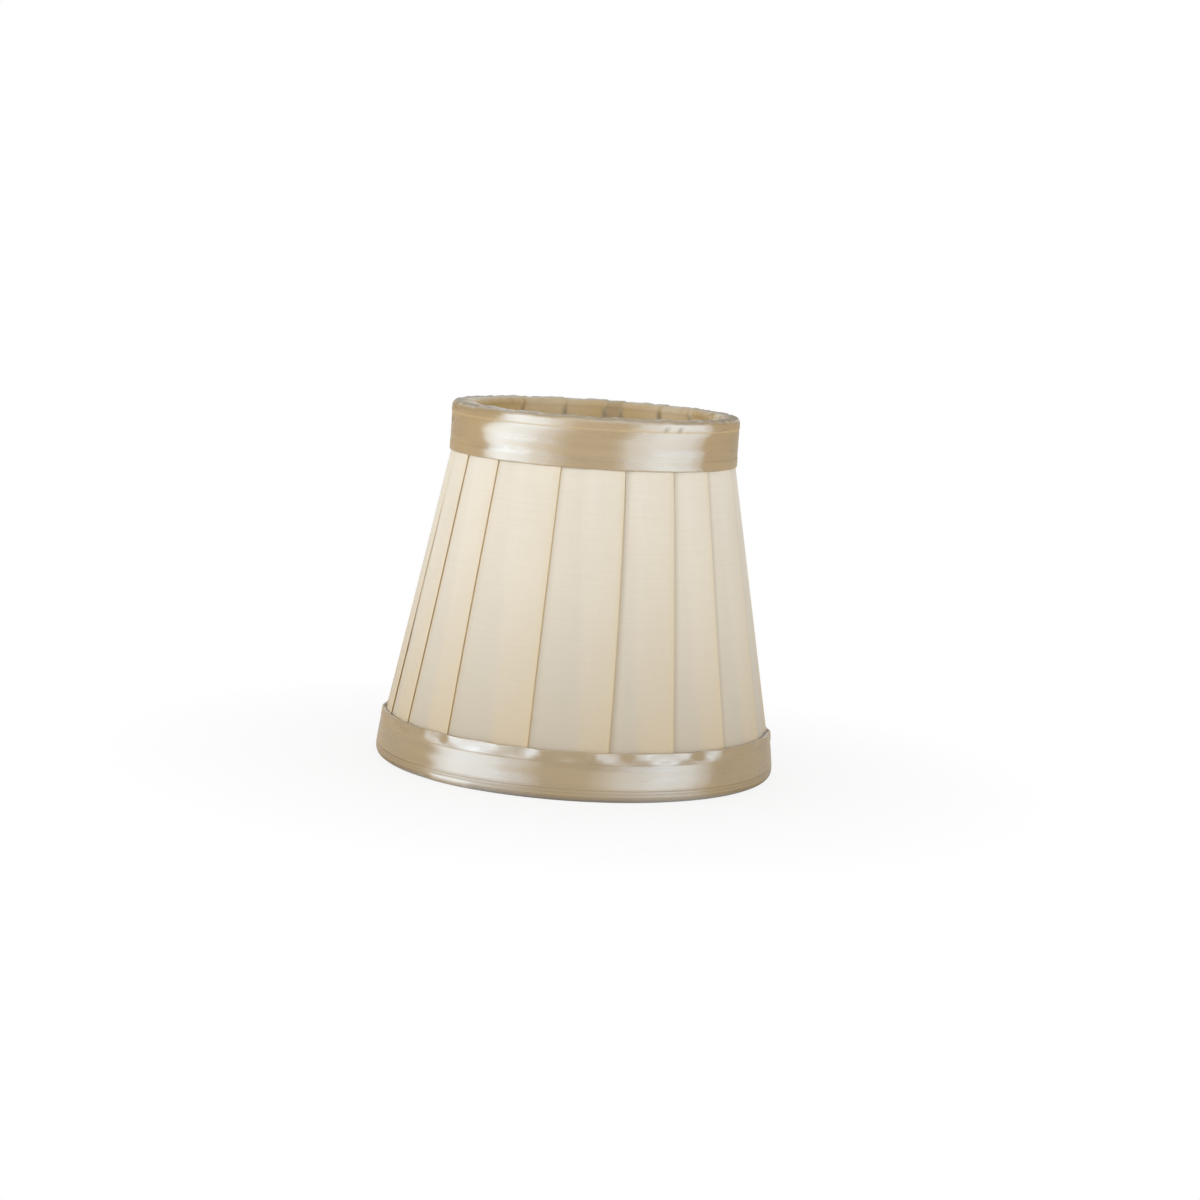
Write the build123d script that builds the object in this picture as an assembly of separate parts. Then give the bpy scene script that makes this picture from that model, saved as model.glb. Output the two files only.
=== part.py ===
from build123d import *
import os
from math import atan, cos, pi, radians, sin, tan

# Pleated clip-on candle shade. Millimetres, +Z up, origin under the centre of the lower rim.

# Shade as measured over its ribbon
HEIGHT = 125.0
TOP_DIAMETER = 100.0
BOTTOM_DIAMETER = 139.2

# Ribbon bindings: a leg outside, a roll over the ring and a short leg inside
TOP_TRIM_HEIGHT = 17.4
BOTTOM_TRIM_HEIGHT = 16.6
TRIM_TURN_IN = 9.0
RIBBON = 0.6
RIM_FLAT = 1.0
BOTTOM_WIDEST_HEIGHT = 5.0
BOTTOM_SHOULDER = 8.0
TRIM_EASE = 0.4

# Wire frame
RING_WIRE = 2.0
RIB_WIRE = 1.2
RIB_PAIRS = 3

# Cloth: the cover, the lining and the cover's edges where they are turned over the rings
CLOTH = 0.3
LINING = 0.3
TOP_HEM = 2.7
BOTTOM_HEM = 0.9
HEM_OVER_RING = 0.6
HEM_TURN_IN = 0.5
HEM_UNDER_EDGE = 0.25
PLEAT_LAP = 1.0

# Knife pleats: fold edges on the front, in degrees from the front (-Y) towards +X, and even ones behind
FRONT_FOLDS = [-72.5, -58.5, -39.5, -12.3, 12.5, 33.0, 51.5, 73.0]
BACK_PANELS = 10
FOLD_SWING = -2.5
TOP_STEP = 0.85
BOTTOM_STEP = 1.55
PLEAT_TUCK = 4.0

# Bulb clip
BAR_HEIGHT = 100.0
BAR_WIRE = 2.0
COLLAR_DIAMETER = 3.4
COLLAR_WIDTH = 1.2
SADDLE_LENGTH = 14.0
SADDLE_SHEET = 0.6
LOOP_SPREAD = 3.6
LOOP_DROP = 3.0
LOOP_WIRE = 1.6
LOOP_WIDTH = 31.0
LOOP_LENGTH = 43.0
SHOULDER_DROP = 14.0
BELLY_DROP = 28.0
GRIP_GAP = 27.0
LIP_GAP = 22.0
LIP_WIDTH = 18.0
LOOP_BEND = 3.0
LOOP_CURVE = 9.0

# Clearances
LAYER_GAP = 0.1
RING_PLAY = 0.2
WELD_GAP = 0.05
PIN_PLAY = 0.05
SIDE_PLAY = 0.3
LINING_HOLE_PLAY = 0.4

# The frame line: the straight line through the centres of the two ring wires
ring_half = RING_WIRE / 2
rib_half = RIB_WIRE / 2
bar_half = BAR_WIRE / 2
loop_half = LOOP_WIRE / 2
roll_stack = RIBBON + LAYER_GAP + HEM_OVER_RING + RING_PLAY + ring_half
side_stack = RIBBON + LAYER_GAP + RING_PLAY + ring_half
top_ring_z = HEIGHT - roll_stack
bottom_ring_z = roll_stack
top_ring_radius = TOP_DIAMETER / 2 - side_stack - TOP_HEM
bottom_ring_radius = BOTTOM_DIAMETER / 2 - side_stack - BOTTOM_HEM
frame_slope = (top_ring_radius - bottom_ring_radius) / (top_ring_z - bottom_ring_z)
lean = atan(-frame_slope)

# Layers, measured square to the frame line, outward positive
cover_inside = rib_half + LAYER_GAP
lining_outside = -(rib_half + LAYER_GAP)
lining_inside = lining_outside - LINING
hem_leg_outside = min(lining_inside, -ring_half - RING_PLAY) - LAYER_GAP
ribbon_leg_inside = hem_leg_outside - HEM_TURN_IN - LAYER_GAP - RIBBON
hem_inset = RIBBON + LAYER_GAP

# Heights where the ribbon covers the pleats
top_trim_edge = HEIGHT - TOP_TRIM_HEIGHT
bottom_trim_edge = BOTTOM_TRIM_HEIGHT
pleat_top = top_trim_edge - LAYER_GAP
pleat_bottom = bottom_trim_edge - PLEAT_TUCK


def wall_radius(z, offset):
    """Radius, at height z, of a layer that lies at an offset from the frame line."""
    return bottom_ring_radius + frame_slope * (z - bottom_ring_z) + offset / cos(lean)


def valley_radius(z):
    """Radius of the cover where it lies on the frame, just past a fold."""
    return wall_radius(z, cover_inside + CLOTH)


def fold_radius(z):
    """Radius of the fold edges, which stand out a little more towards the bottom."""
    share = (z - bottom_trim_edge) / (top_trim_edge - bottom_trim_edge)
    return valley_radius(z) + BOTTOM_STEP + share * (TOP_STEP - BOTTOM_STEP)


def turned(profile):
    """A solid of revolution about Z, from a face drawn as radius and height."""
    return revolve(Plane.XZ * profile, Axis.Z, 360)


def top_binding(inset, outer_end, inner_end):
    """Filled outline of the upper binding, inset from the ribbon's face, with legs down to two heights."""
    rim_radius = TOP_DIAMETER / 2
    edge_radius = wall_radius(top_trim_edge, cover_inside) + HEM_UNDER_EDGE + hem_inset
    flare = (edge_radius - rim_radius) / TOP_TRIM_HEIGHT
    leg = ribbon_leg_inside + inset
    crest = rim_radius - wall_radius(HEIGHT, ribbon_leg_inside)
    inner_corner = pi / 2 - lean
    roll = (crest - RIM_FLAT) / (1 + 1 / tan(inner_corner / 2))
    corners = [
        (rim_radius + flare * (HEIGHT - outer_end) - inset, outer_end),
        (rim_radius + flare * inset - inset, HEIGHT - inset),
        (wall_radius(HEIGHT - inset, leg), HEIGHT - inset),
        (wall_radius(inner_end, leg), inner_end),
    ]
    return make_face(FilletPolyline(*corners, radius=[0, roll - inset, roll - inset, 0], close=True))


def bottom_binding(inset, outer_end, inner_end):
    """Filled outline of the lower binding, inset from the ribbon's face, with legs up to two heights."""
    rim_radius = BOTTOM_DIAMETER / 2
    edge_radius = fold_radius(bottom_trim_edge) + TRIM_EASE + RIBBON
    taper = (edge_radius - rim_radius) / (bottom_trim_edge - BOTTOM_WIDEST_HEIGHT)
    leg = ribbon_leg_inside + inset
    crest = rim_radius - wall_radius(0, ribbon_leg_inside)
    inner_corner = pi / 2 + lean
    roll = (crest - RIM_FLAT) / (1 + 1 / tan(inner_corner / 2))
    corners = [
        (rim_radius + taper * (outer_end - BOTTOM_WIDEST_HEIGHT) - inset, outer_end),
        (rim_radius - inset, BOTTOM_WIDEST_HEIGHT),
        (rim_radius - inset, inset),
        (wall_radius(inset, leg), inset),
        (wall_radius(inner_end, leg), inner_end),
    ]
    radii = [0, BOTTOM_SHOULDER - inset, roll - inset, roll - inset, 0]
    return make_face(FilletPolyline(*corners, radius=radii, close=True))


def make_top_trim():
    """Ribbon round the upper rim."""
    inner_end = HEIGHT - TRIM_TURN_IN
    outside = top_binding(0, top_trim_edge, inner_end)
    inside = top_binding(RIBBON, top_trim_edge - RIBBON, inner_end - RIBBON)
    return turned(outside - inside)


def make_bottom_trim():
    """Ribbon round the lower rim. Its flat crest is what the shade stands on."""
    outside = bottom_binding(0, bottom_trim_edge, TRIM_TURN_IN)
    inside = bottom_binding(RIBBON, bottom_trim_edge + RIBBON, TRIM_TURN_IN + RIBBON)
    return turned(outside - inside)


def make_ring(radius, z):
    """Closed ring of round wire."""
    return Pos(0, 0, z) * Torus(radius, ring_half)


def make_rib(angle):
    """Straight wire that runs from the lower ring up to the upper one."""
    start = Vector(bottom_ring_radius, 0, bottom_ring_z)
    end = Vector(top_ring_radius, 0, top_ring_z)
    along = (end - start).normalized()
    foot = start + along * (ring_half + WELD_GAP)
    length = (end - start).length - 2 * (ring_half + WELD_GAP)
    rib = extrude(Plane(origin=foot, z_dir=along) * Circle(rib_half), length)
    return Rot(0, 0, angle) * rib


def make_lining():
    """Cloth cone inside the ribs, with a hole for each end of the crossbar."""
    low = bottom_ring_z + ring_half + LAYER_GAP
    high = top_ring_z - ring_half - LAYER_GAP
    wall = Polyline(
        (wall_radius(low, lining_outside), low),
        (wall_radius(high, lining_outside), high),
        (wall_radius(high, lining_inside), high),
        (wall_radius(low, lining_inside), low),
        close=True,
    )
    hole = Cylinder(bar_half + LINING_HOLE_PLAY, BOTTOM_DIAMETER, rotation=(0, 90, 0))
    return turned(make_face(wall)) - Pos(0, 0, BAR_HEIGHT) * hole


def fold_angles():
    """Angles of all fold edges from +X, in degrees: those seen on the front, then even ones behind."""
    first = FRONT_FOLDS[0]
    last = FRONT_FOLDS[-1]
    panel = (first + 360 - last) / BACK_PANELS
    folds = FRONT_FOLDS + [last + panel * step for step in range(1, BACK_PANELS)]
    return [fold - 90 for fold in folds]


def pleat_outline(z, swing):
    """Closed outline of the pleats at one height: each panel climbs to its fold, then drops to the next."""
    def at(radius, degrees):
        angle = radians(degrees + swing)
        return Vector(radius * cos(angle), radius * sin(angle), z)

    valley = valley_radius(z)
    fold = fold_radius(z)
    starts = fold_angles()
    ends = starts[1:] + [starts[0] + 360]
    edges = []
    for start, end in zip(starts, ends):
        middle = at((valley + fold) / 2, (start + end) / 2)
        edges.append(ThreePointArc(at(valley, start), middle, at(fold, end)))
        edges.append(Line(at(fold, end), at(valley, end)))
    return make_face(edges)


def make_pleated_cover():
    """One strip of cloth in knife pleats, with its two edges turned over the rings as hems."""
    height = pleat_top - pleat_bottom
    pleats = loft([pleat_outline(pleat_bottom, FOLD_SWING), pleat_outline(pleat_top, 0)], ruled=True)
    core = Cone(
        wall_radius(pleat_bottom - PLEAT_LAP, cover_inside),
        wall_radius(pleat_top + PLEAT_LAP, cover_inside),
        height + 2 * PLEAT_LAP,
    )
    shell = pleats - Pos(0, 0, (pleat_bottom + pleat_top) / 2) * core
    wall_space = make_face(Polyline(
        (wall_radius(bottom_ring_z, hem_leg_outside), bottom_ring_z),
        (wall_radius(bottom_ring_z, cover_inside), bottom_ring_z),
        (wall_radius(top_ring_z, cover_inside), top_ring_z),
        (wall_radius(top_ring_z, hem_leg_outside), top_ring_z),
        close=True,
    ))
    turn_in = TRIM_TURN_IN - RIBBON
    top_hem = top_binding(hem_inset, pleat_top - PLEAT_LAP, HEIGHT - turn_in) - wall_space
    top_hem = top_hem - Pos(top_ring_radius, top_ring_z) * Circle(ring_half + RING_PLAY)
    bottom_hem = bottom_binding(hem_inset, pleat_bottom + PLEAT_LAP, turn_in) - wall_space
    bottom_hem = bottom_hem - Pos(bottom_ring_radius, bottom_ring_z) * Circle(ring_half + RING_PLAY)
    return shell + turned(top_hem) + turned(bottom_hem)


def make_clip_crossbar():
    """Straight wire between two opposite ribs, with a swaged collar each side of the saddle."""
    reach = wall_radius(BAR_HEIGHT + bar_half, -rib_half) - WELD_GAP
    bar = Cylinder(bar_half, 2 * reach, rotation=(0, 90, 0))
    collar_place = SADDLE_LENGTH / 2 + SIDE_PLAY + COLLAR_WIDTH / 2
    collar = Cylinder(COLLAR_DIAMETER / 2, COLLAR_WIDTH, rotation=(0, 90, 0))
    bar = bar + Pos(collar_place, 0, 0) * collar + Pos(-collar_place, 0, 0) * collar
    return Pos(0, 0, BAR_HEIGHT) * bar


def make_clip_saddle():
    """Folded strip, curled into a barrel round the crossbar and a barrel for each loop."""
    bar_bore = bar_half + PIN_PLAY
    loop_bore = loop_half + PIN_PLAY
    profile = Circle(bar_bore + SADDLE_SHEET)
    for side in (1, -1):
        web = Polyline((0, 0), (side * LOOP_SPREAD, -LOOP_DROP))
        profile += trace(web, SADDLE_SHEET)
        profile += Pos(side * LOOP_SPREAD, -LOOP_DROP) * Circle(loop_bore + SADDLE_SHEET)
    profile -= Circle(bar_bore)
    for side in (1, -1):
        profile -= Pos(side * LOOP_SPREAD, -LOOP_DROP) * Circle(loop_bore)
    strip = extrude(Plane.YZ * profile, SADDLE_LENGTH / 2, both=True)
    return Pos(0, 0, BAR_HEIGHT) * strip


def make_clip_loop(side):
    """Loop of spring wire: straight in its barrel, out over the bulb's belly and in again at the lip."""
    axis_y = LOOP_SPREAD
    axis_z = BAR_HEIGHT - LOOP_DROP
    bend_x = SADDLE_LENGTH / 2 + SIDE_PLAY + LOOP_BEND
    belly_y = GRIP_GAP / 2 + loop_half
    lip_y = LIP_GAP / 2 + loop_half
    shoulder_y = axis_y + (belly_y - axis_y) * (SHOULDER_DROP / BELLY_DROP) ** 0.5
    route = [
        (0, side * axis_y, axis_z),
        (bend_x, side * axis_y, axis_z),
        (LOOP_WIDTH / 2, side * shoulder_y, axis_z - SHOULDER_DROP),
        (LOOP_WIDTH / 2, side * belly_y, axis_z - BELLY_DROP),
        (LIP_WIDTH / 2, side * lip_y, axis_z - LOOP_LENGTH),
        (0, side * lip_y, axis_z - LOOP_LENGTH),
    ]
    path = FilletPolyline(*route, radius=[LOOP_BEND, LOOP_CURVE, LOOP_CURVE, LOOP_CURVE])
    section = Plane(origin=route[0], z_dir=(1, 0, 0)) * Circle(loop_half)
    half = sweep(section, path)
    return half + mirror(half, about=Plane.YZ)


nodes = {
    "top_ring": make_ring(top_ring_radius, top_ring_z),
    "bottom_ring": make_ring(bottom_ring_radius, bottom_ring_z),
    "lining": make_lining(),
    "pleated_cover": make_pleated_cover(),
    "top_trim": make_top_trim(),
    "bottom_trim": make_bottom_trim(),
    "clip_crossbar": make_clip_crossbar(),
    "clip_saddle": make_clip_saddle(),
    "front_clip_loop": make_clip_loop(-1),
    "rear_clip_loop": make_clip_loop(1),
}
rib_count = 2 * RIB_PAIRS
for number in range(rib_count):
    nodes[f"rib_{number + 1}"] = make_rib(360 * number / rib_count)

os.makedirs("parts", exist_ok=True)
for name, shape in nodes.items():
    export_step(shape, f"parts/{name}.step")
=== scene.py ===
from math import atan, atan2, cos, hypot, pi, radians, sin

import bmesh
import bpy
from mathutils import Euler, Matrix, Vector


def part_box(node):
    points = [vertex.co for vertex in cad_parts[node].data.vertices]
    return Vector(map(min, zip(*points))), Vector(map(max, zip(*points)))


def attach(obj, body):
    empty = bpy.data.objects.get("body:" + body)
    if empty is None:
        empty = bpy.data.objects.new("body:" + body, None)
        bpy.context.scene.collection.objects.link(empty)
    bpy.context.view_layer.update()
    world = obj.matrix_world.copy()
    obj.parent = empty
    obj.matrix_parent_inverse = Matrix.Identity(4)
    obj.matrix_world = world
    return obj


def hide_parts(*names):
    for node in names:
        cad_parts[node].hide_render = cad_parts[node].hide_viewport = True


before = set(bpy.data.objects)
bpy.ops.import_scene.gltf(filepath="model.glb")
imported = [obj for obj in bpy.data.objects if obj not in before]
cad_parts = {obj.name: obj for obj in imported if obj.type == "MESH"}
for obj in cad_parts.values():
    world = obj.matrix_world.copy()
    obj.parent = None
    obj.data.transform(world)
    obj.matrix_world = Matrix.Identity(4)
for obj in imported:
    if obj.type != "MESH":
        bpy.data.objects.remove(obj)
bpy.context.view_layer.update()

# Pleated clip-on candle shade, dressed over its frame. Metres, in the frame of the solids.
MM = 0.001
WHOLE_TURN = 2 * pi

# Photograph: where the camera stood, as fitted to the shade's outline
PHOTO_SIZE = 1200
AIM_HEIGHT = 59.8 * MM
EYE_DISTANCE = 912.8 * MM
EYE_ELEVATION = 7.77
CAMERA_ROLL = 3.78
FOCAL_PIXELS = 2609.6
SENSOR_WIDTH = 36.0
AIM_PIXEL = (584.4, 592.7)

# Knife pleats: fold edges on the front as (upper, lower) angles from the front, even ones behind
FRONT_FOLDS = [
    (-73.0, -72.5), (-58.5, -58.5), (-39.5, -39.5), (-12.2, -13.3),
    (12.7, 9.7), (33.0, 29.3), (51.3, 48.5), (73.5, 69.5),
]
BACK_PANELS = 10
BACK_UNEVEN = 2.2
BACK_TWIST = 1.0
FOLD_BOW = 0.35
UPPER_LAP = 13.4 * MM
LOWER_LAP = 11.0 * MM
LAP_UNEVEN = 0.12
LAYER = 0.2 * MM
UPPER_STAND = 0.44 * MM
LOWER_STAND = 0.52 * MM
FLARE = 1.1 * MM
COVER_GAP = 0.3 * MM
CLOTH = 0.08 * MM
STRIP_ROWS = 36
UNDER_LOWER_RIBBON = 6.0 * MM
UNDER_UPPER_RIBBON = 3.0 * MM

# Both ribbons
RIBBON = 0.4 * MM
LIP = 0.3 * MM
TURN_IN = 9.0 * MM
LEG_OFFSET = -2.3 * MM
HEM_STRIP = 4.0 * MM
HEM_RAISE = 0.11 * MM
HEM_LINE = 0.4 * MM
HEM_FADE = 3.0 * MM
FACE_WAVE = 0.08 * MM
FACE_SPACING = 0.25 * MM
LEG_SPACING = 0.8 * MM
TURN_STEPS = 480
JOIN = (168, 175.5)
TUCKS = [7, 27, 47, 68, 88, 108, 127.4, 147.4, *JOIN, 195, 218, 242, 264, 285, 306, 327, 347]

# Upper ribbon
RIM_CORNER = 2.0 * MM
RIM_DROP = 0.2 * MM
CREST_RISE = 3.0 * MM
CREST_FALL = 4.0 * MM
CREST_WAVE = 0.2 * MM
CREST_DIP = 0.35 * MM
CREST_PUCKER = 0.22 * MM
EDGE_WAVE = 0.1 * MM
INSIDE_FADE = 5.0 * MM
INNER_LINE = 2.0 * MM
TUCK_DEPTH = 0.7 * MM
DENTS = [(radians(28), 0.3 * MM), (radians(34.5), 0.35 * MM)]
DENT_SIZE = 1.6 * MM
DENT_BELOW_RIM = 3.4 * MM
UPPER_LEAN = -0.13

# Lower ribbon
FOOT_CORNER = 2.4 * MM
FOOT_INSET = 1.6 * MM
FACE_FOOT = 5.0 * MM
EDGE_STAND = 1.8 * MM
TUCKED_IN = 0.3 * MM
TUCKED_DOWN = 0.9 * MM
RIPPLES = 26
RIPPLE = 0.56 * MM
RIPPLE_CREST = radians(5.5)
RIPPLES_FROM = radians(-14)
RIPPLES_TO = radians(52)
RIPPLES_FADE = radians(11)
STRIP_FADE = 2.4 * MM
STRIP_WAVE = 0.12 * MM
SIDE_DIP = 1.6 * MM
SIDE_DIP_FROM = radians(80)
SIDE_DIP_FADE = radians(15)
SIDE_DIP_DEPTH = 8.0 * MM
FLAT_FROM = radians(-44)
FLAT_TO = radians(-29)
FLAT_FADE = radians(5)
FLAT_PUSH = 0.6 * MM
FLAT_HEIGHT = 2.5 * MM
LOWER_TUCK_DEPTH = 0.4 * MM

# Lining
RIBS = 6
LINING_GAP = 0.1 * MM
LINING_SLACK = 0.25 * MM
LINING_SPACING = 3.0 * MM

# Stage: the white that mirrored rays see, light from all round, and where the side lamps stand
MIRRORED = 0.25
AMBIENT = 0.16
FLOOR_REACH = 6.0
LAMP_HEIGHT = 0.22
LEFT_AWAY = 0.8
RIGHT_AWAY = 0.9

# Sizes read from the frame
top_low, top_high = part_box("top_trim")
bottom_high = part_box("bottom_trim")[1]
upper_ring_low, upper_ring_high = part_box("top_ring")
lower_ring_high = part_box("bottom_ring")[1]
rib_low, rib_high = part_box("rib_1")
HEIGHT = top_high[2]
UPPER_EDGE = top_low[2]
LOWER_EDGE = bottom_high[2]
ring_wire = upper_ring_high[2] - upper_ring_low[2]
rib_wire = rib_high[1] - rib_low[1]
upper_ring = (upper_ring_high[0] - ring_wire / 2, upper_ring_high[2] - ring_wire / 2)
lower_ring = (lower_ring_high[0] - ring_wire / 2, lower_ring_high[2] - ring_wire / 2)
frame_slope = (upper_ring[0] - lower_ring[0]) / (upper_ring[1] - lower_ring[1])
lean = atan(-frame_slope)


def wall_radius(z, offset):
    """Radius, at height z, of a layer that lies at an offset from the line of the ribs."""
    return lower_ring[0] + frame_slope * (z - lower_ring[1]) + offset / cos(lean)


def smooth(value):
    """Ease from 0 to 1, flat at both ends."""
    value = min(max(value, 0.0), 1.0)
    return value * value * (3 - 2 * value)


def between(first, last, share):
    """A value part of the way from the first to the last."""
    return first + (last - first) * share


def window(angle, start, end, fade):
    """1 between two angles, falling to 0 outside them."""
    return smooth((angle - start) / fade + 0.5) * smooth((end - angle) / fade + 0.5)


def risen(place, start, length):
    """0 up to a start, easing to 1 at a length beyond it."""
    return smooth((place - start) / length)


def height_share(z):
    """0 at the lower ribbon's edge, 1 at the upper ribbon's edge."""
    return (z - LOWER_EDGE) / (UPPER_EDGE - LOWER_EDGE)


def pleat_base(z):
    """Radius of the cloth's lowest layer at a height."""
    return wall_radius(z, rib_wire / 2 + COVER_GAP) + FLARE * (1 - height_share(z))


def ripple(angle, counts, seed):
    """Uneven waviness round the shade, within about one up and down."""
    total = sum(sin(count * angle + seed * count * 1.7) for count in counts)
    return total / len(counts)


# Shader values and materials


class Value:
    """One socket of a node tree. Sums and products of values add Math nodes."""

    def __init__(self, paint, socket):
        self.paint = paint
        self.socket = socket

    def math(self, operation, *values):
        settings = {"operation": operation}
        return self.paint.node("ShaderNodeMath", settings, dict(enumerate(values)))

    def __add__(self, other):
        return self.math("ADD", self, other)

    def __sub__(self, other):
        return self.math("SUBTRACT", self, other)

    def __rsub__(self, other):
        return self.math("SUBTRACT", other, self)

    def __mul__(self, other):
        return self.math("MULTIPLY", self, other)

    def __truediv__(self, other):
        return self.math("DIVIDE", self, other)

    def __pow__(self, other):
        return self.math("POWER", self, other)

    __radd__ = __add__
    __rmul__ = __mul__

    def sine(self):
        return self.math("SINE", self)

    def clamp(self):
        return self.math("MINIMUM", self.math("MAXIMUM", self, 0.0), 1.0)


class Paint:
    """A material or a world under construction."""

    def __init__(self, owner):
        owner.use_nodes = True
        self.owner = owner
        self.tree = owner.node_tree

    def node(self, kind, settings, inputs, output=0):
        """Add a node: its settings first, then the values or links of its sockets."""
        made = self.tree.nodes.new(kind)
        for name, setting in settings.items():
            setattr(made, name, setting)
        self.put(made, inputs)
        return Value(self, made.outputs[output])

    def put(self, node, inputs):
        """Link or set a node's sockets."""
        for name, value in inputs.items():
            socket = node.inputs[name]
            if isinstance(value, Value):
                self.tree.links.new(value.socket, socket)
            else:
                socket.default_value = value

    def surface(self, **inputs):
        """Link or set the sockets of the Principled shader."""
        named = {name.replace("_", " "): value for name, value in inputs.items()}
        self.put(self.tree.nodes["Principled BSDF"], named)

    def blend(self, factor, first, second):
        """Mix two colours."""
        inputs = {0: factor, 6: first, 7: second}
        return self.node("ShaderNodeMix", {"data_type": "RGBA"}, inputs, output=2)

    def attribute(self, name):
        settings = {"attribute_name": name}
        return self.node("ShaderNodeAttribute", settings, {}, output="Fac")

    def noise(self, vector, scale, detail, roughness=0.5):
        inputs = {"Vector": vector, "Scale": scale, "Detail": detail, "Roughness": roughness}
        return self.node("ShaderNodeTexNoise", {}, inputs)

    def stretched(self, vector, scale):
        """The vector with each axis scaled by itself."""
        return self.node("ShaderNodeMapping", {}, {"Vector": vector, "Scale": scale})

    def bump(self, height, strength, distance):
        inputs = {"Height": height, "Strength": strength, "Distance": distance}
        return self.node("ShaderNodeBump", {}, inputs)

    def cloth_map(self):
        """The piece's own UV map, in metres of cloth."""
        return self.node("ShaderNodeUVMap", {"uv_map": "cloth"}, {})

    def place(self):
        return self.node("ShaderNodeTexCoord", {}, {}, output="Object")

    def part_of(self, vector, axis):
        return self.node("ShaderNodeSeparateXYZ", {}, {"Vector": vector}, output=axis)

    def weave(self, across, along, pitch):
        """Over and under threads of a plain weave, from 0 to 1."""
        turns = WHOLE_TURN / pitch
        return (across * turns).sine() * (along * turns).sine() * 0.5 + 0.5

    def vector_math(self, operation, *vectors):
        settings = {"operation": operation}
        return self.node("ShaderNodeVectorMath", settings, dict(enumerate(vectors)))

    def leaned(self, share):
        """The surface's normal, leaned round the upright axis by a share of its length."""
        normal = self.node("ShaderNodeNewGeometry", {}, {}, output="Normal")
        around = self.vector_math("CROSS_PRODUCT", (0, 0, 1), self.place())
        around = self.vector_math("NORMALIZE", around)
        settings = {"operation": "SCALE"}
        sideways = self.node("ShaderNodeVectorMath", settings, {0: around, "Scale": share})
        return self.vector_math("NORMALIZE", self.vector_math("ADD", normal, sideways))

    def seen(self):
        """1 for rays to the camera or through glass, less for mirrored ones."""
        straight = self.node("ShaderNodeLightPath", {}, {}, output="Is Camera Ray")
        through = self.node("ShaderNodeLightPath", {}, {}, output="Is Transmission Ray")
        mirrored = self.node("ShaderNodeLightPath", {}, {}, output="Is Glossy Ray")
        return (straight + through + mirrored * MIRRORED).clamp()


def new_paint(name, **numbers):
    """A new material with plain numbers set on its Principled shader."""
    paint = Paint(bpy.data.materials.new(name))
    paint.surface(**numbers)
    return paint


def linear(red, green, blue):
    """A colour given in display values, as a shader's colour."""
    def channel(value):
        share = value / 255
        if share <= 0.04045:
            return share / 12.92
        return ((share + 0.055) / 1.055) ** 2.4

    return (channel(red), channel(green), channel(blue), 1.0)


def pleated_cloth():
    """Fine cream cloth: greyer where single, creamier over folded layers, with painted shade in and
    beside the folds, and darker towards the bottom, partly painted shade.
    """
    paint = new_paint("pleated_cloth", Roughness=0.85, Sheen_Weight=0.1, Sheen_Roughness=0.5)
    cloth = paint.cloth_map()
    across = paint.part_of(cloth, "X")
    along = paint.part_of(cloth, "Y")
    layers = paint.attribute("layers")
    crease_shade = paint.attribute("crease_shade")
    fold_shade = paint.attribute("fold_shade")
    # Darker towards the bottom: partly painted shade, partly the thinner layering of the lower
    # pleats
    darkening_down = (1 - (along - LOWER_EDGE) / (UPPER_EDGE - LOWER_EDGE)).clamp() ** 1.6
    single = paint.blend(darkening_down, linear(239, 230, 214), linear(206, 195, 176))
    layered = paint.blend(darkening_down, linear(241, 233, 217), linear(213, 197, 170))
    tone = paint.blend(layers, single, layered)
    slub = paint.noise(paint.stretched(cloth, (60.0, 900.0, 1.0)), 1.0, 3.0, 0.6)
    thread = paint.noise(paint.stretched(cloth, (1400.0, 90.0, 1.0)), 1.0, 2.0)
    cloud = paint.noise(paint.stretched(cloth, (25.0, 18.0, 1.0)), 1.0, 3.0)
    shade = (slub - 0.5) * 0.2 + (thread - 0.5) * 0.1 + (cloud - 0.5) * 0.3
    tone = paint.blend((shade + 0.06).clamp(), tone, linear(190, 178, 158))
    # Painted shade beside each fold edge
    tone = paint.blend(fold_shade * 0.4, tone, linear(168, 148, 116))
    # Painted shade in the folds: tan at each fold edge and under it
    tone = paint.blend(crease_shade, tone, linear(230, 205, 152))
    weave = paint.weave(across, along, 0.55 * MM)
    height = weave * 0.5 + slub * 0.6 + thread * 0.3
    normal = paint.bump(height, 0.12, 0.06 * MM)
    paint.surface(Base_Color=tone, Normal=normal, Roughness=0.78 + slub * 0.14)
    return paint.owner


def satin_ribbon():
    """Champagne satin with threads running round the shade, so that highlights stand upright."""
    paint = new_paint(
        "satin_ribbon", IOR=2.3, Specular_IOR_Level=1.0,
        Specular_Tint=(0.68, 0.85, 1.0, 1.0), Anisotropic=1.0, Anisotropic_Rotation=0.25,
    )
    place = paint.place()
    streak = paint.noise(paint.stretched(place, (36.0, 36.0, 430.0)), 1.0, 0.0)
    cloud = paint.noise(paint.stretched(place, (50.0, 50.0, 120.0)), 1.0, 0.0)
    shade_and_wear = paint.attribute("shade_and_wear")
    painted_light = paint.attribute("painted_light")
    mottle = (streak * 0.5 + cloud * 0.5).clamp()
    tone = paint.blend(mottle, linear(179, 140, 70), linear(211, 173, 99))
    # Painted light: turned-in legs lighter and warmer than their shade inside the rims, and
    # highlight lines along the upper hem and inside the rim
    tone = paint.blend(painted_light, tone, linear(252, 212, 136))
    # Painted shade in tucks, dents, hem creases and along the rims, with the darker join of the
    # ribbon's ends
    tone = paint.blend(shade_and_wear, tone, linear(96, 74, 40))
    roughness = 0.24 + streak * 0.1 + (shade_and_wear - 0.2).clamp() * 2.5 + painted_light * 0.35
    lie = paint.attribute("lie")
    normal = paint.leaned(lie + (streak - 0.5) * 0.09 + (cloud - 0.5) * 0.11)
    paint.surface(Base_Color=tone, Roughness=roughness, Normal=normal)
    return paint.owner


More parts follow.
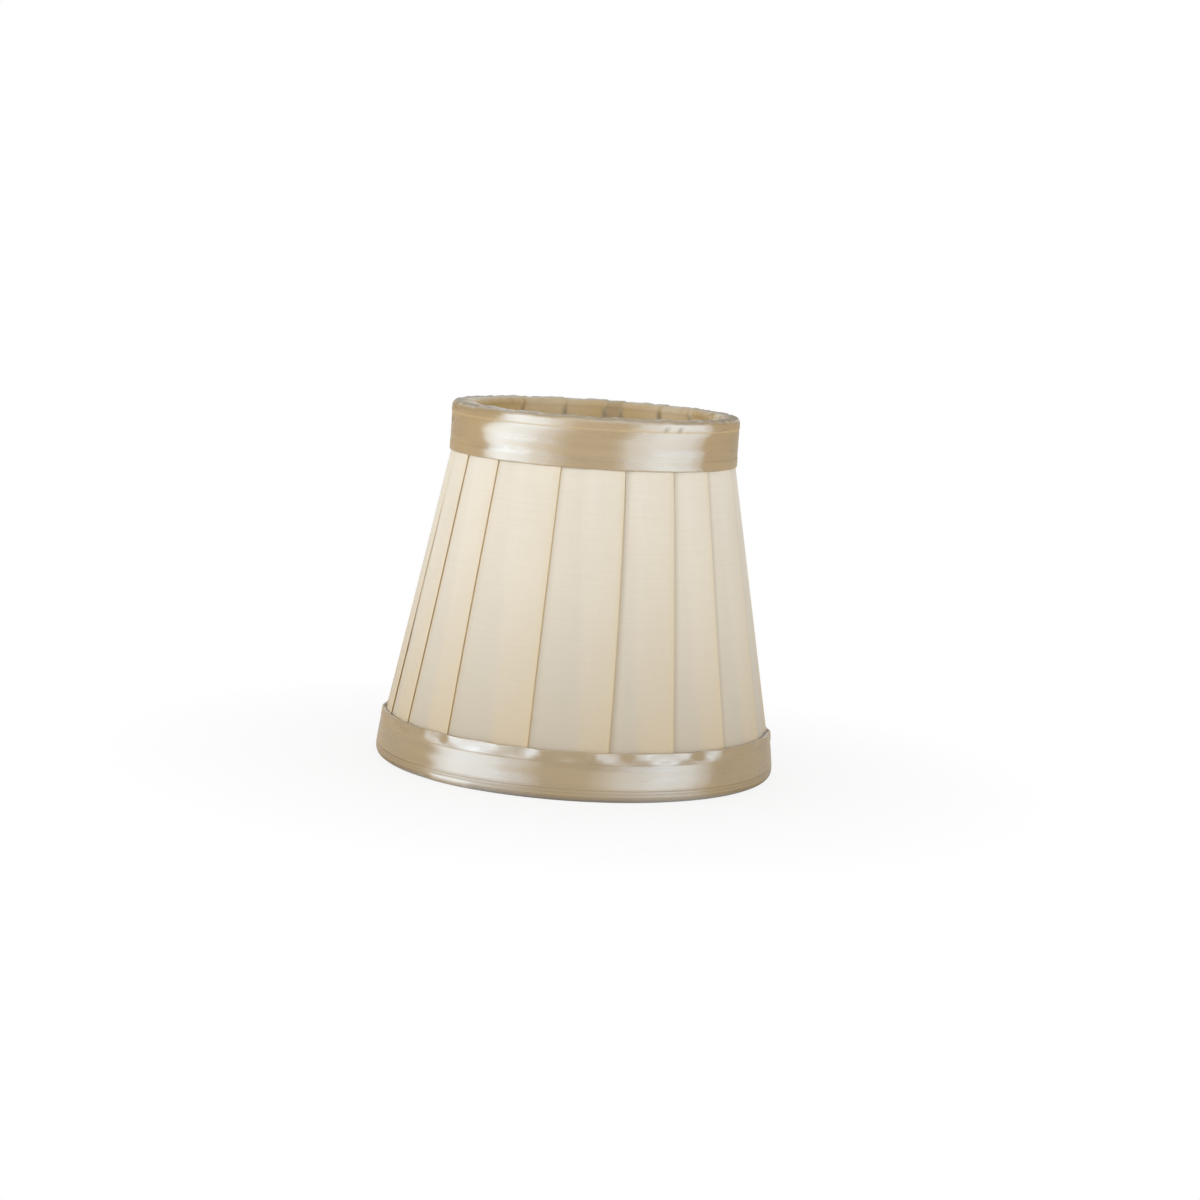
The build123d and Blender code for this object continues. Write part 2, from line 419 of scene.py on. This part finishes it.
def lining_cloth():
    """Plain white lining with a soft weave."""
    paint = new_paint("lining_cloth", Roughness=0.9)
    place = paint.place()
    x = paint.part_of(place, "X")
    y = paint.part_of(place, "Y")
    z = paint.part_of(place, "Z")
    turn = paint.node("ShaderNodeMath", {"operation": "ARCTAN2"}, {0: y, 1: x})
    slub = paint.noise(place, 700.0, 3.0, 0.6)
    weave = paint.weave(turn * (60 * MM), z, 0.6 * MM)
    tone = paint.blend(slub, linear(226, 220, 208), linear(240, 236, 226))
    normal = paint.bump(weave * 0.5 + slub * 0.5, 0.25, 0.08 * MM)
    paint.surface(Base_Color=tone, Normal=normal)
    return paint.owner


def enamelled_wire():
    """White enamel on steel wire, a little uneven."""
    paint = new_paint("enamelled_wire", Coat_Weight=0.3, Coat_Roughness=0.2)
    place = paint.place()
    run = paint.noise(place, 420.0, 3.0)
    chip = paint.noise(place, 1500.0, 2.0)
    tone = paint.blend(run, linear(222, 219, 210), linear(238, 236, 229))
    normal = paint.bump(run, 0.2, 0.1 * MM)
    paint.surface(Base_Color=tone, Roughness=0.32 + chip * 0.15, Normal=normal)
    return paint.owner


def plated_clip():
    """Brass plate on spring steel, duller in patches."""
    paint = new_paint("plated_clip", Metallic=1.0)
    place = paint.place()
    patch = paint.noise(place, 260.0, 4.0, 0.6)
    drawn = paint.noise(paint.stretched(place, (300.0, 2400.0, 2400.0)), 1.0, 2.0)
    tone = paint.blend(patch, linear(214, 178, 104), linear(232, 200, 132))
    normal = paint.bump(drawn, 0.15, 0.03 * MM)
    paint.surface(Base_Color=tone, Roughness=0.2 + patch * 0.16 + drawn * 0.06, Normal=normal)
    return paint.owner


# Pieces


def finished(name, bm, material, node):
    """Make a bmesh a smooth piece of the shade that stands for one solid."""
    mesh = bpy.data.meshes.new(name)
    bm.to_mesh(mesh)
    bm.free()
    mesh.shade_smooth()
    mesh.materials.append(material)
    piece = bpy.data.objects.new(name, mesh)
    bpy.context.scene.collection.objects.link(piece)
    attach(piece, "shade")
    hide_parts(node)
    return piece


def thickened(piece, thickness):
    """Give a sheet its thickness, inwards from its outer face."""
    solidify = piece.modifiers.new("thickness", "SOLIDIFY")
    solidify.thickness = thickness
    solidify.offset = -1.0


def fold_list():
    """All fold edges in order, as (upper, lower) angles in degrees from the front."""
    first = FRONT_FOLDS[0]
    last = FRONT_FOLDS[-1]
    folds = list(FRONT_FOLDS)
    for step in range(1, BACK_PANELS):
        share = step / BACK_PANELS
        uneven = BACK_UNEVEN * sin(step * 2.3)
        upper = between(last[0], first[0] + 360, share) + uneven
        lower = between(last[1], first[1] + 360, share) + uneven - BACK_TWIST
        folds.append((upper, lower))
    return folds


FOLDS = fold_list()
PLEATS = len(FOLDS)


def fold_angle(pleat, z):
    """Angle of a pleat's fold edge at a height. Pleats count on past a whole turn."""
    turns, index = divmod(pleat, PLEATS)
    upper, lower = FOLDS[index]
    share = height_share(z)
    bow = FOLD_BOW * sin(pi * share) * sin(index * 1.9)
    return radians(between(lower, upper, share) + bow) + turns * WHOLE_TURN


def lap_angle(pleat, z):
    """How far a pleat's folded layers reach back under its panel, in radians."""
    share = height_share(z)
    uneven = 1 + LAP_UNEVEN * sin((pleat % PLEATS) * 2.7)
    width = between(LOWER_LAP, UPPER_LAP, share) * uneven
    return width / wall_radius(z, 0)


# Columns of the strip in one pleat, from under the last panel to back under its own
UNDER = 4
SHOWING = 5
SINGLE = 10
RISE = 8
OVER = 5
EDGE = 8
BACK = 5
COLUMNS = UNDER + SHOWING + SINGLE + RISE + OVER + EDGE + BACK
EASE = 2.4 * MM
GLIMPSE = 0.5 * MM
BELLY = 0.08 * MM
# Reach of the painted shade beyond each fold edge
FOLD_SHADE_WIDTH = 2.8 * MM


def pleat_place(column, z):
    """Angle and stand-off of a column of the strip at a height, its backing and its painted fold
    shade.
    """
    pleat, step = divmod(column, COLUMNS)
    radius = wall_radius(z, 0)
    last_fold = fold_angle(pleat - 1, z)
    fold = fold_angle(pleat, z)
    lap_start = fold - lap_angle(pleat, z)
    last_lap_start = last_fold - lap_angle(pleat - 1, z)
    ease = EASE / radius
    glimpse = GLIMPSE / radius
    tip = LAYER / 2 / radius
    stand = between(LOWER_STAND, UPPER_STAND, height_share(z))
    if step < UNDER:
        share = step / UNDER
        angle = between(last_lap_start, last_fold - glimpse, share)
        return angle, LAYER / 2 * (1 - smooth(share * 4)), 1.0, 1.0
    step -= UNDER
    if step < SHOWING:
        share = step / SHOWING
        angle = between(last_fold - glimpse, last_fold + glimpse, share)
        return angle, 0.0, 0.0, 1 - smooth(share * 2 - 1)
    step -= SHOWING
    if step < SINGLE:
        share = step / SINGLE
        angle = between(last_fold + glimpse, lap_start - ease, share)
        return angle, BELLY * sin(pi * share), 0.0, 0.0
    step -= SINGLE
    if step < RISE:
        share = smooth(step / RISE)
        angle = between(lap_start - ease, lap_start + ease, step / RISE)
        return angle, 2 * LAYER * share, share, 0.0
    step -= RISE
    if step < OVER:
        share = step / OVER
        angle = between(lap_start + ease, fold - tip, share)
        return angle, between(2 * LAYER, stand, share), 1.0, 0.12 * share
    step -= OVER
    if step < EDGE:
        turn = pi * step / EDGE
        height = stand - LAYER / 2 * (1 - cos(turn))
        return fold - tip + tip * sin(turn), height, 1.0, max(0.3, smooth(step / EDGE))
    share = (step - EDGE) / BACK
    angle = between(fold - tip, lap_start, share)
    return angle, between(stand - LAYER, LAYER / 2, share), 1.0, 1.0


def paint_fold_shade(column, angle, z):
    """Painted shade on the cloth beyond the last fold edge, where its step would shade it, deeper
    on the right half.
    """
    fold = fold_angle(column // COLUMNS - 1, z)
    beside = (angle - fold) * wall_radius(z, 0)
    depth = between(0.3, 1.0, window((fold + pi) % WHOLE_TURN - pi, 0, pi, radians(20)))
    return depth * (1 - smooth(beside / FOLD_SHADE_WIDTH))


def pleated_strip(material):
    """One strip of cloth, folded into knife pleats round the frame."""
    columns = PLEATS * COLUMNS
    rows = STRIP_ROWS
    low = LOWER_EDGE - UNDER_LOWER_RIBBON
    high = UPPER_EDGE + UNDER_UPPER_RIBBON
    heights = [between(low, high, row / rows) for row in range(rows + 1)]
    bm = bmesh.new()
    layers = bm.verts.layers.float.new("layers")
    # Painted shade in the folds and beside them
    crease_shade = bm.verts.layers.float.new("crease_shade")
    fold_shade = bm.verts.layers.float.new("fold_shade")
    cloth = bm.loops.layers.uv.new("cloth")
    bmesh.ops.create_grid(bm, x_segments=columns, y_segments=rows, size=0.5)
    cells = {}
    for vert in bm.verts:
        cells[vert] = (round((vert.co.x + 0.5) * columns), round((vert.co.y + 0.5) * rows))
    for vert, (column, row) in cells.items():
        z = heights[row]
        angle, stand, vert[layers], vert[crease_shade] = pleat_place(column, z)
        # Painted shade beside the last fold edge
        vert[fold_shade] = paint_fold_shade(column, angle, z)
        radius = pleat_base(z) + stand
        vert.co = Vector((radius * sin(angle), -radius * cos(angle), z))
    middle = {column: vert.co for vert, (column, row) in cells.items() if row == rows // 2}
    reach = [0.0]
    for column in range(columns):
        reach.append(reach[-1] + (middle[column + 1] - middle[column]).length)
    for face in bm.faces:
        for loop in face.loops:
            column, row = cells[loop.vert]
            loop[cloth].uv = (reach[column], heights[row])
    bmesh.ops.remove_doubles(bm, verts=bm.verts, dist=0.001 * MM)
    bmesh.ops.recalc_face_normals(bm, faces=bm.faces)
    piece = finished("pleated_cloth_strip", bm, material, "pleated_cover")
    thickened(piece, CLOTH)


def ribbon_profile(points, spacing):
    """Points along a section, filled in so that they lie about one spacing apart."""
    filled = [points[0]]
    for start, end in zip(points, points[1:]):
        steps = max(1, round((end - start).length / spacing))
        filled += [start.lerp(end, step / steps) for step in range(1, steps + 1)]
    return filled


def arc_points(centre, radius, start, end, steps):
    """Points on an arc in the plane of radius and height, angles in radians from outwards."""
    points = []
    for step in range(steps + 1):
        angle = between(start, end, step / steps)
        points.append(centre + Vector((cos(angle), sin(angle))) * radius)
    return points


def spun_ribbon(profile, move):
    """Spin a section round the shade and move each point by its angle and its place along it."""
    bm = bmesh.new()
    girth = bm.verts.layers.float.new("girth")
    verts = []
    length = 0.0
    for index, point in enumerate(profile):
        if index:
            length += (point - profile[index - 1]).length
        vert = bm.verts.new((0.0, -point.x, point.y))
        vert[girth] = length
        verts.append(vert)
    edges = [bm.edges.new(pair) for pair in zip(verts, verts[1:])]
    bmesh.ops.spin(
        bm, geom=verts + edges, cent=(0, 0, 0), axis=(0, 0, 1),
        angle=WHOLE_TURN, steps=TURN_STEPS, use_merge=True,
    )
    bmesh.ops.remove_doubles(bm, verts=bm.verts, dist=0.001 * MM)
    # Painted shade with the ribbon's darker join, painted light, and the lean of the threads, as
    # each move gives them
    shade_and_wear = bm.verts.layers.float.new("shade_and_wear")
    painted_light = bm.verts.layers.float.new("painted_light")
    lie = bm.verts.layers.float.new("lie")
    for vert in bm.verts:
        angle = atan2(vert.co.x, -vert.co.y)
        radius = hypot(vert.co.x, vert.co.y)
        outward, upward, vert[shade_and_wear], vert[painted_light], vert[lie] = move(angle, vert[girth], length)
        radius += outward
        vert.co = Vector((radius * sin(angle), -radius * cos(angle), vert.co.z + upward))
    bmesh.ops.recalc_face_normals(bm, faces=bm.faces)
    return bm, length


def crease_step(place, line, width):
    """A step that is 0 before a line along the section and 1 after it."""
    return smooth((place - line) / width + 0.5)


def hem_mark(place, line):
    """A fine line along a hem's edge, where painted shade and painted highlight lines go, 1 on it
    and 0 beside it.
    """
    return max(0.0, 1 - abs(place - line) / HEM_LINE)


TUCK_STARTS = [radians(place) for place in [TUCKS[-1] - 360] + TUCKS]
TUCK_ENDS = [radians(place) for place in TUCKS + [TUCKS[0] + 360]]


def tuck_share(angle):
    """How far an angle lies from the last tuck of a turned-in ribbon to the next, from 0 to 1."""
    angle %= WHOLE_TURN
    for start, end in zip(TUCK_STARTS, TUCK_ENDS):
        if start <= angle < end:
            return (angle - start) / (end - start)
    return 0.0


def upper_ribbon(material):
    """Ribbon over the upper rim: hems at both edges of its face, tucks where it turns inside."""
    outer = top_high[0]
    shoulder = HEIGHT - RIM_CORNER - RIM_DROP
    inner = upper_ring[0] - ring_wire / 2 - RIM_CORNER
    leg_height = HEIGHT - TURN_IN
    leg_end = Vector((wall_radius(leg_height, LEG_OFFSET), leg_height))
    lip_centre = Vector((outer - LIP, UPPER_EDGE + LIP))
    outer_centre = Vector((outer - RIM_CORNER, shoulder))
    inner_centre = Vector((inner + RIM_CORNER, shoulder - RIM_DROP))
    outline = arc_points(lip_centre, LIP, -pi, 0, 6)
    outline += ribbon_profile([outline[-1], Vector((outer, shoulder))], FACE_SPACING)[1:]
    outline += arc_points(outer_centre, RIM_CORNER, 0, pi / 2, 7)[1:]
    outline += arc_points(inner_centre, RIM_CORNER, pi / 2, pi, 7)
    outline += ribbon_profile([outline[-1], leg_end], LEG_SPACING)[1:]
    face = shoulder - UPPER_EDGE + 2 * LIP
    top_line = face + RIM_CORNER - HEM_STRIP
    inner_line = face + outer - inner + INNER_LINE

    def move(angle, place, length):
        share = tuck_share(angle)
        crest = risen(place, face, CREST_RISE)
        crest *= 1 - risen(place, face + outer - inner, CREST_FALL)
        inside = risen(place, face + CREST_RISE, INSIDE_FADE)
        below = risen(place, inner_line, INNER_LINE)
        lower_hem = 1 - crease_step(place, HEM_STRIP, HEM_LINE)
        upper_hem = crease_step(place, top_line, HEM_LINE)
        upper_hem *= 1 - crease_step(place, face, HEM_FADE)
        pucker = CREST_PUCKER * crest * (0.5 + 0.5 * ripple(angle, (5, 8, 13), 2.4))
        radius = HEM_RAISE * (lower_hem + upper_hem - 1)
        radius += FACE_WAVE * ripple(angle, (7, 11, 17), 0.6)
        radius += pucker * ripple(angle, (47, 61, 97, 127), 1.9)
        radius -= TUCK_DEPTH * inside * (1 - share)
        height = CREST_WAVE * crest * ripple(angle, (19, 31, 43, 57), 2.1)
        height -= CREST_DIP * crest * share
        height += pucker * ripple(angle, (53, 71, 89, 113), 0.9)
        height += EDGE_WAVE * (1 - risen(place, 0, 2 * MM)) * ripple(angle, (5, 13, 23), 1.3)
        # Painted shadow after each tuck, and a fainter one before
        shade_and_wear = below * (0.6 * smooth(1 - 7 * share) + 0.3 * smooth(12 * share - 11))
        # Painted shade in the crease of the lower hem
        shade_and_wear += 0.15 * hem_mark(place, HEM_STRIP)
        # Painted shade along the rim's crest, deeper at the sides
        shaded_rim = 0.4 + 0.35 * risen(abs(sin(angle)), 0.75, 0.2)
        shaded_rim *= 0.7 + 0.3 * ripple(angle, (37, 59, 83), 1.2)
        shade_and_wear += shaded_rim * crest * (1 - 0.7 * inside)
        if radians(JOIN[0]) <= angle <= radians(JOIN[1]):
            shade_and_wear = max(shade_and_wear, 0.3 * inside)
        # Painted highlight lines along the upper hem and inside the rim, and painted light on the
        # turned-in leg
        light = 0.5 * hem_mark(place, top_line) + hem_mark(place, inner_line)
        painted_light = max(light, inside * between(0.6, 1.0, below))
        for dent, depth in DENTS:
            up = place - face - RIM_CORNER + DENT_BELOW_RIM
            near = hypot((angle - dent) * outer - 0.5 * up, 0.7 * up) / DENT_SIZE
            radius -= depth * max(0.0, 1 - near) ** 2
            # Painted shade in each dent
            shade_and_wear = max(shade_and_wear, 0.35 * max(0.0, 1 - near))
        return radius, height, shade_and_wear, painted_light, UPPER_LEAN * risen(place, 9 * MM, 7 * MM)

    bm, length = spun_ribbon(outline, move)
    piece = finished("upper_ribbon", bm, material, "top_trim")
    thickened(piece, RIBBON)


def lower_ribbon(material):
    """Ribbon over the lower rim, its upper strip rippled by the pleats under it."""
    outer = bottom_high[0]
    inner = lower_ring[0] - ring_wire / 2 - FOOT_INSET
    edge_radius = pleat_base(LOWER_EDGE) + EDGE_STAND
    tucked = Vector((pleat_base(LOWER_EDGE) - TUCKED_IN, LOWER_EDGE - TUCKED_DOWN))
    lip_centre = Vector((edge_radius - LIP, LOWER_EDGE - LIP))
    outer_centre = Vector((outer - FOOT_CORNER, FOOT_CORNER))
    inner_centre = Vector((inner + FOOT_CORNER, FOOT_CORNER))
    leg_end = Vector((wall_radius(TURN_IN, LEG_OFFSET), TURN_IN))
    outline = [tucked] + arc_points(lip_centre, LIP, pi * 0.6, 0, 6)
    wall = [outline[-1], Vector((outer, FACE_FOOT)), Vector((outer, FOOT_CORNER))]
    outline += ribbon_profile(wall, FACE_SPACING)[1:]
    outline += arc_points(outer_centre, FOOT_CORNER, 0, -pi / 2, 8)[1:]
    outline += arc_points(inner_centre, FOOT_CORNER, -pi / 2, -pi, 8)
    outline += ribbon_profile([outline[-1], leg_end], LEG_SPACING)[1:]
    face = LOWER_EDGE + edge_radius - tucked.x
    top_line = HEM_STRIP + edge_radius - tucked.x
    foot_line = face - HEM_STRIP

    def move(angle, place, length):
        inside = risen(place, face + 5 * MM, 4 * MM)
        flat = window(angle, FLAT_FROM, FLAT_TO, FLAT_FADE)
        strip = 1 - crease_step(place, top_line - 0.8 * MM, STRIP_FADE)
        upper_hem = 1 - crease_step(place, top_line, HEM_LINE)
        lower_hem = crease_step(place, foot_line, HEM_LINE)
        lower_hem *= 1 - crease_step(place, face, HEM_FADE)
        fullness = 0.4 + 0.6 * risen(place, 1.2 * MM, 2 * MM)
        fullness *= 0.35 + 0.65 * window(angle, RIPPLES_FROM, RIPPLES_TO, RIPPLES_FADE)
        radius = HEM_RAISE * (lower_hem + upper_hem - 1)
        radius += FACE_WAVE * ripple(angle, (6, 10, 15), 1.1)
        radius += RIPPLE * strip * fullness * cos(RIPPLES * (angle - RIPPLE_CREST))
        radius += FACE_WAVE * strip * ripple(angle, (29, 41, 67), 0.4)
        radius += FLAT_PUSH * flat * max(0.0, 1 - abs(place - face + 0.5 * MM) / FLAT_HEIGHT)
        radius -= LOWER_TUCK_DEPTH * inside * (1 - tuck_share(angle))
        side = risen(abs(angle), SIDE_DIP_FROM, SIDE_DIP_FADE)
        height = STRIP_WAVE * strip * ripple(angle, (17, 23, 37), 2.9)
        height -= SIDE_DIP * side * (1 - risen(place, 0, SIDE_DIP_DEPTH))
        # Painted shade round the foot, less where the flattened stretch catches the light
        shaded_rim = risen(place, face - 3 * MM, 3 * MM) * (1 - inside) * (1 - 0.8 * flat)
        # Painted shade over the whole lower ribbon, deeper round its foot and at the lip under the
        # pleats
        shade_and_wear = 0.14 + 0.5 * shaded_rim + 0.25 * (1 - risen(place, 1.4 * MM, MM))
        # Painted shade in the creases of the foot hem
        shade_and_wear += 0.25 * hem_mark(place, foot_line) + 0.2 * hem_mark(place, foot_line + MM)
        lie = 0.07 * window(angle, radians(25), radians(70), radians(15))
        lie -= 0.06 * window(angle, radians(-60), radians(-8), radians(10))
        # The turned-in leg gets the painted light tone
        return radius, height, shade_and_wear, inside, lie

    bm, length = spun_ribbon(outline, move)
    piece = finished("lower_ribbon", bm, material, "bottom_trim")
    thickened(piece, RIBBON)


def inner_lining(material):
    """Cloth cone inside the ribs, drawn a little inwards between them."""
    low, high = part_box("lining")
    offset = -rib_wire / 2 - LINING_GAP
    ends = [Vector((wall_radius(z, offset), z)) for z in (high[2], low[2])]

    def move(angle, place, length):
        slack = LINING_SLACK * sin(pi * place / length)
        return -slack * (1 - cos(RIBS * (angle - pi / 2))), 0.0, 0.0, 0.0, 0.0

    bm, length = spun_ribbon(ribbon_profile(ends, LINING_SPACING), move)
    piece = finished("inner_lining", bm, material, "lining")
    thickened(piece, CLOTH)
    radius = wall_radius((low[2] + high[2]) / 2, 0)
    flat = (WHOLE_TURN * radius, length)


def dress_solids(wire, metal):
    """Give the solids that stay in view their finish."""
    finishes = {"clip_saddle": metal, "front_clip_loop": metal, "rear_clip_loop": metal}
    for name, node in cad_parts.items():
        for slot in node.material_slots:
            slot.material = finishes.get(name, wire)


# Stage, light and camera


def floor_material():
    """Pale floor that shows white, and a soft shadow near the shade."""
    paint = new_paint("pale_floor", Roughness=0.9, Base_Color=(0.7, 0.69, 0.67, 1.0))
    settings = {"operation": "LENGTH"}
    spread = paint.node("ShaderNodeVectorMath", settings, {0: paint.place()}, output="Value")
    white = paint.node("ShaderNodeEmission", {}, {"Strength": 1.0})
    share = paint.seen() * (0.78 + spread * 1.3).clamp()
    principled = Value(paint, paint.tree.nodes["Principled BSDF"].outputs[0])
    mixed = paint.node("ShaderNodeMixShader", {}, {0: share, 1: principled, 2: white})
    paint.put(paint.tree.nodes["Material Output"], {"Surface": mixed})
    return paint.owner


def make_floor():
    """One wide sheet of floor, which is no part of the shade."""
    bm = bmesh.new()
    bmesh.ops.create_grid(bm, x_segments=4, y_segments=4, size=FLOOR_REACH)
    mesh = bpy.data.meshes.new("floor")
    bm.to_mesh(mesh)
    bm.free()
    mesh.materials.append(floor_material())
    floor = bpy.data.objects.new("floor", mesh)
    bpy.context.scene.collection.objects.link(floor)


def make_world():
    """Soft even light from all round, seen as white."""
    world = bpy.data.worlds.new("studio")
    bpy.context.scene.world = world
    paint = Paint(world)
    strength = AMBIENT + paint.seen() * (1 - AMBIENT)
    white = (1.0, 1.0, 1.0, 1.0)
    paint.put(paint.tree.nodes["Background"], {"Color": white, "Strength": strength})


def softbox(name, azimuth, distance, height, width, tall, power, shape):
    """A soft area light that faces the shade, at an angle from the camera's side towards +X."""
    light = bpy.data.lights.new(name, "AREA")
    light.shape = shape
    light.size = width
    light.size_y = tall
    light.energy = power
    lamp = bpy.data.objects.new(name, light)
    angle = radians(azimuth)
    lamp.location = (distance * sin(angle), -distance * cos(angle), height)
    aim = Vector((0, 0, HEIGHT / 2)) - lamp.location
    lamp.rotation_euler = aim.to_track_quat("-Z", "Y").to_euler()
    bpy.context.scene.collection.objects.link(lamp)


def make_lights():
    """Softboxes left and right, firm at their outer edges, and broad ones above and behind."""
    softbox("left_strip", -82.0, LEFT_AWAY, LAMP_HEIGHT, 0.34, 0.42, 0.28, "RECTANGLE")
    softbox("left_softbox", -70.0, LEFT_AWAY, LAMP_HEIGHT, 0.71, 0.44, 1.2, "ELLIPSE")
    softbox("left_spread", -63.0, LEFT_AWAY, LAMP_HEIGHT, 0.92, 0.44, 1.2, "ELLIPSE")
    softbox("left_fill", -57.0, LEFT_AWAY, LAMP_HEIGHT, 1.08, 0.44, 1.3, "ELLIPSE")
    softbox("right_strip", 82.0, RIGHT_AWAY, LAMP_HEIGHT, 0.28, 0.42, 0.3, "RECTANGLE")
    softbox("right_softbox", 66.0, RIGHT_AWAY, LAMP_HEIGHT, 0.84, 0.44, 0.95, "ELLIPSE")
    softbox("right_spread", 52.0, RIGHT_AWAY, LAMP_HEIGHT, 1.04, 0.44, 1.6, "ELLIPSE")
    softbox("right_fill", 45.0, RIGHT_AWAY, LAMP_HEIGHT, 1.12, 0.44, 1.2, "ELLIPSE")
    softbox("top_light", 0.0, 0.4, 0.55, 1.0, 0.5, 1.1, "ELLIPSE")
    softbox("back_light", 180.0, 0.9, 0.65, 1.5, 1.1, 5.0, "ELLIPSE")


def make_camera():
    """Camera where the photograph was taken from, turned by its tilt and shifted to its framing."""
    camera = bpy.data.cameras.new("camera")
    camera.sensor_width = SENSOR_WIDTH
    camera.lens = FOCAL_PIXELS / PHOTO_SIZE * SENSOR_WIDTH
    camera.shift_x = 0.5 - AIM_PIXEL[0] / PHOTO_SIZE
    camera.shift_y = AIM_PIXEL[1] / PHOTO_SIZE - 0.5
    eye = bpy.data.objects.new("camera", camera)
    rise = radians(EYE_ELEVATION)
    eye.location = (0.0, -EYE_DISTANCE * cos(rise), AIM_HEIGHT + EYE_DISTANCE * sin(rise))
    look = Euler((pi / 2 - rise, 0, 0)).to_matrix()
    turn = Euler((0, 0, radians(CAMERA_ROLL))).to_matrix()
    eye.rotation_euler = (look @ turn).to_euler()
    bpy.context.scene.collection.objects.link(eye)
    bpy.context.scene.camera = eye


make_camera()
ribbon_finish = satin_ribbon()
pleated_strip(pleated_cloth())
upper_ribbon(ribbon_finish)
lower_ribbon(ribbon_finish)
inner_lining(lining_cloth())
dress_solids(enamelled_wire(), plated_clip())
make_floor()
make_world()
make_lights()
bpy.context.scene.view_settings.view_transform = "Standard"
